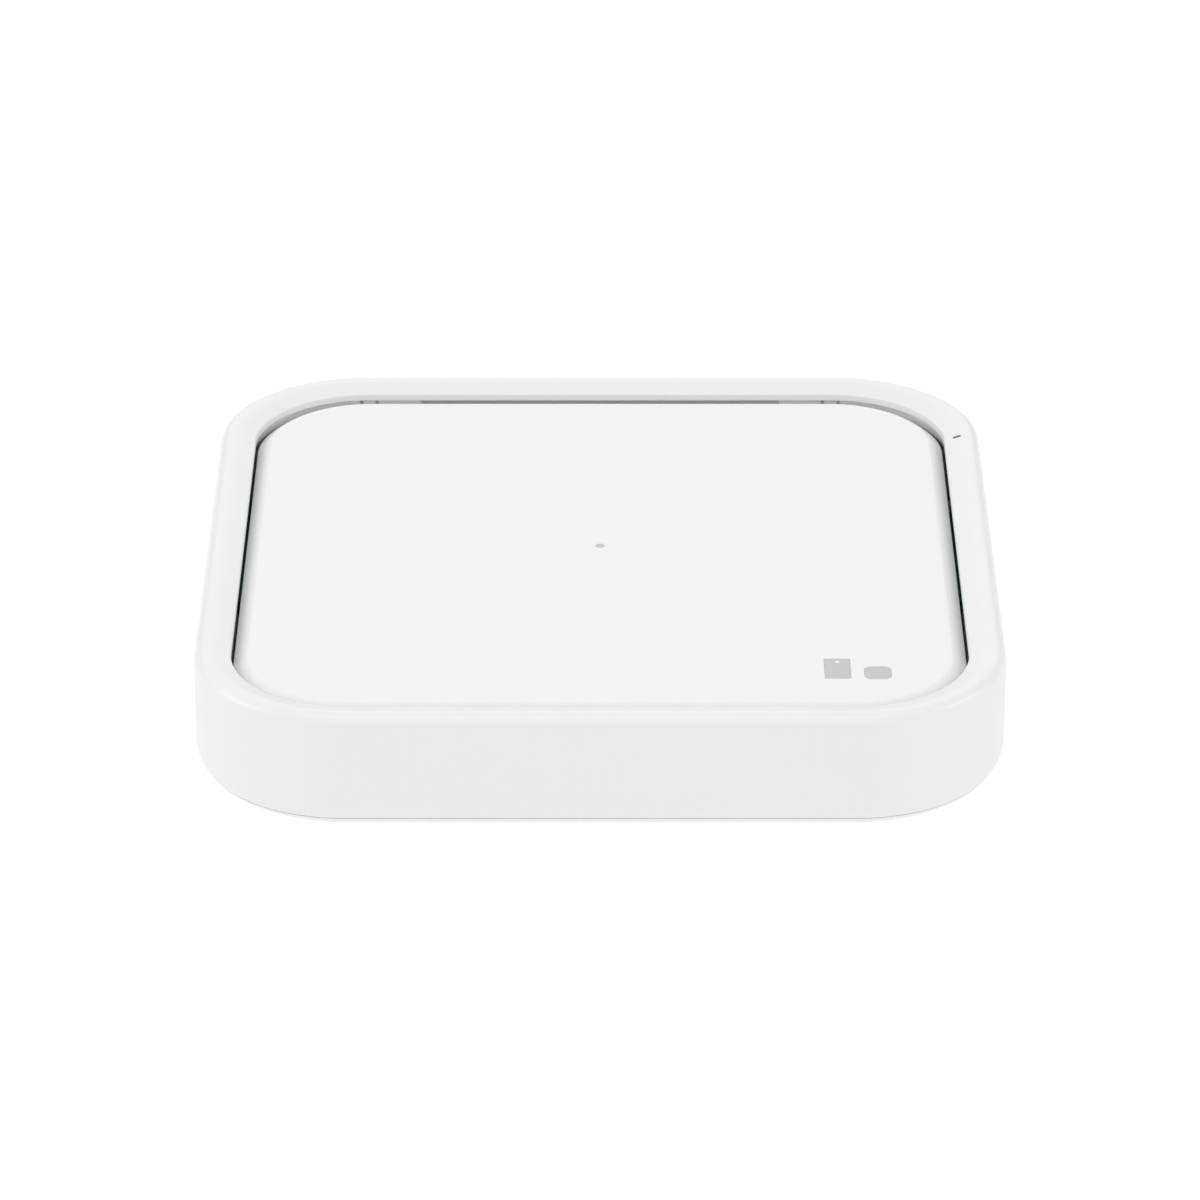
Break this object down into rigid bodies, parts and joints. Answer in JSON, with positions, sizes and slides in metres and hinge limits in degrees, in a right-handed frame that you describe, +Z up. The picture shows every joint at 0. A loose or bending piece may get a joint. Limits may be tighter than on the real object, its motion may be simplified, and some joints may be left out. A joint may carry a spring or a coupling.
{
  "type": "wireless charging pad",
  "caption": "Square round-cornered desktop pad that charges a phone or earbud case laid on its recessed plate, with an air-cooled coil inside and a power inlet at the back.",
  "frame": {"origin": "on the surface that the pad stands on, under the middle of the pad", "axes": "+Z up out of the charging plate, +Y towards the back face with the power inlet, -Y the front with the printed symbols, +X to the right with the status light"},
  "size_m": [0.09, 0.09, 0.015],
  "materials": {
    "case_white": "satin moulded white",
    "plate_white": "fine matt moulded white",
    "print_grey": "pad-printed light grey ink",
    "foot_rubber": "matt silicone",
    "screw_steel": "zinc plated",
    "litz_copper": "enamelled copper strands",
    "chassis_plastic": "moulded natural white",
    "adhesive_foam": "matt foam tape",
    "spreader_aluminium": "rolled sheet",
    "ferrite_black": "matt sintered ferrite",
    "component_black": "moulded epoxy",
    "inductor_grey": "pressed iron powder",
    "ceramic_tan": "fired ceramic",
    "board_green": "solder mask",
    "led_body": "phosphor dome",
    "connector_ivory": "moulded nylon",
    "inlet_steel": "nickel plated",
    "light_pipe_smoke": "smoked polycarbonate",
    "fan_plastic": "moulded black",
    "impeller_plastic": "moulded charcoal",
    "fan_cover_steel": "rolled plate",
    "magnet_grey": "bonded magnet",
    "shaft_steel": "ground",
    "bearing_bronze": "sintered bronze",
    "stator_winding": "enamelled wire on laminations",
    "lead_black": "insulated wires"
  },
  "bodies": {
    "case": {"base_cover": "case_white", "board_screw_left": "screw_steel", "board_screw_right": "screw_steel", "case_screw_back_left": "screw_steel", "case_screw_back_right": "screw_steel", "case_screw_front_left": "screw_steel", "case_screw_front_right": "screw_steel", "centre_mark": "print_grey", "charging_coil": "litz_copper", "charging_plate": "plate_white", "chassis_screw_back_left": "screw_steel", "chassis_screw_back_right": "screw_steel", "chassis_screw_front_left": "screw_steel", "chassis_screw_front_right": "screw_steel", "coil_lead_inner": "litz_copper", "coil_lead_outer": "litz_copper", "controller_chip": "component_black", "earbud_case_mark": "print_grey", "fan_bearing": "bearing_bronze", "fan_connector": "connector_ivory", "fan_cover": "fan_cover_steel", "fan_driver_board": "board_green", "fan_frame": "fan_plastic", "fan_lead": "lead_black", "fan_screw_left": "screw_steel", "fan_screw_right": "screw_steel", "fan_stator": "stator_winding", "ferrite_shield": "ferrite_black", "foot_back_left": "foot_rubber", "foot_back_right": "foot_rubber", "foot_front_left": "foot_rubber", "foot_front_right": "foot_rubber", "heat_spreader": "spreader_aluminium", "inlet_contact_board": "component_black", "inlet_shell": "inlet_steel", "inner_chassis": "chassis_plastic", "input_capacitor": "ceramic_tan", "light_pipe": "light_pipe_smoke", "main_board": "board_green", "outer_housing": "case_white", "phone_mark": "print_grey", "plate_adhesive": "adhesive_foam", "power_inductor": "inductor_grey", "power_stage_chip": "component_black", "resonance_capacitor_1": "ceramic_tan", "resonance_capacitor_2": "ceramic_tan", "resonance_capacitor_3": "ceramic_tan", "resonance_capacitor_4": "ceramic_tan", "status_led": "led_body", "thermistor": "component_black"},
    "fan_rotor": {"fan_impeller": "impeller_plastic", "fan_magnet": "magnet_grey", "fan_shaft": "shaft_steel"}
  },
  "joints": [
    {"name": "fan_spin", "type": "hinge", "parent": "case", "child": "fan_rotor", "pos_m": [0, -0.017, 0.0047], "axis": [0, 0, 1], "continuous": true}
  ]
}
